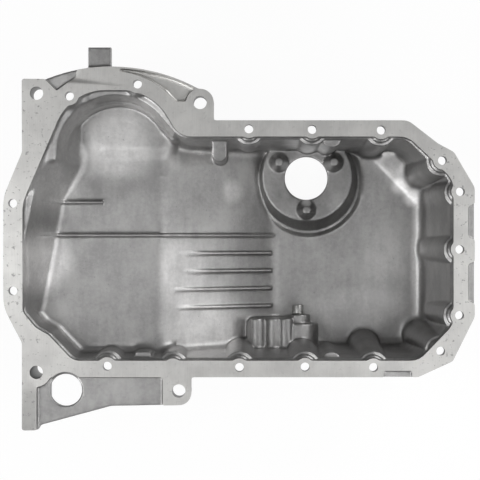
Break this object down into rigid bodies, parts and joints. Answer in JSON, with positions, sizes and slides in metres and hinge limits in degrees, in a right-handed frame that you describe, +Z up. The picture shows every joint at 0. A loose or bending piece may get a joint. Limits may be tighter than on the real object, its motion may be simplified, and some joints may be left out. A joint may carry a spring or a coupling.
{
  "type": "engine oil pan",
  "caption": "Cast aluminium engine oil pan with a gasket flange, a shallow gallery, a ramp to a deep sump, a sensor opening and a drain plug.",
  "frame": {"origin": "in the plane of the gasket face, at the middle of the pan's length and width", "axes": "+X along the engine towards the deep sump's end, +Y towards the lobe with the tab, +Z up out of the mouth"},
  "size_m": [0.4244, 0.3452, 0.125],
  "materials": {
    "cast_aluminium": "blasted casting with a machined rim",
    "plated_steel": "zinc plated",
    "copper": "plain soft copper"
  },
  "bodies": {
    "root": {"pan_casting": "cast_aluminium", "drain_plug": "plated_steel", "drain_plug_washer": "copper"}
  },
  "joints": []
}
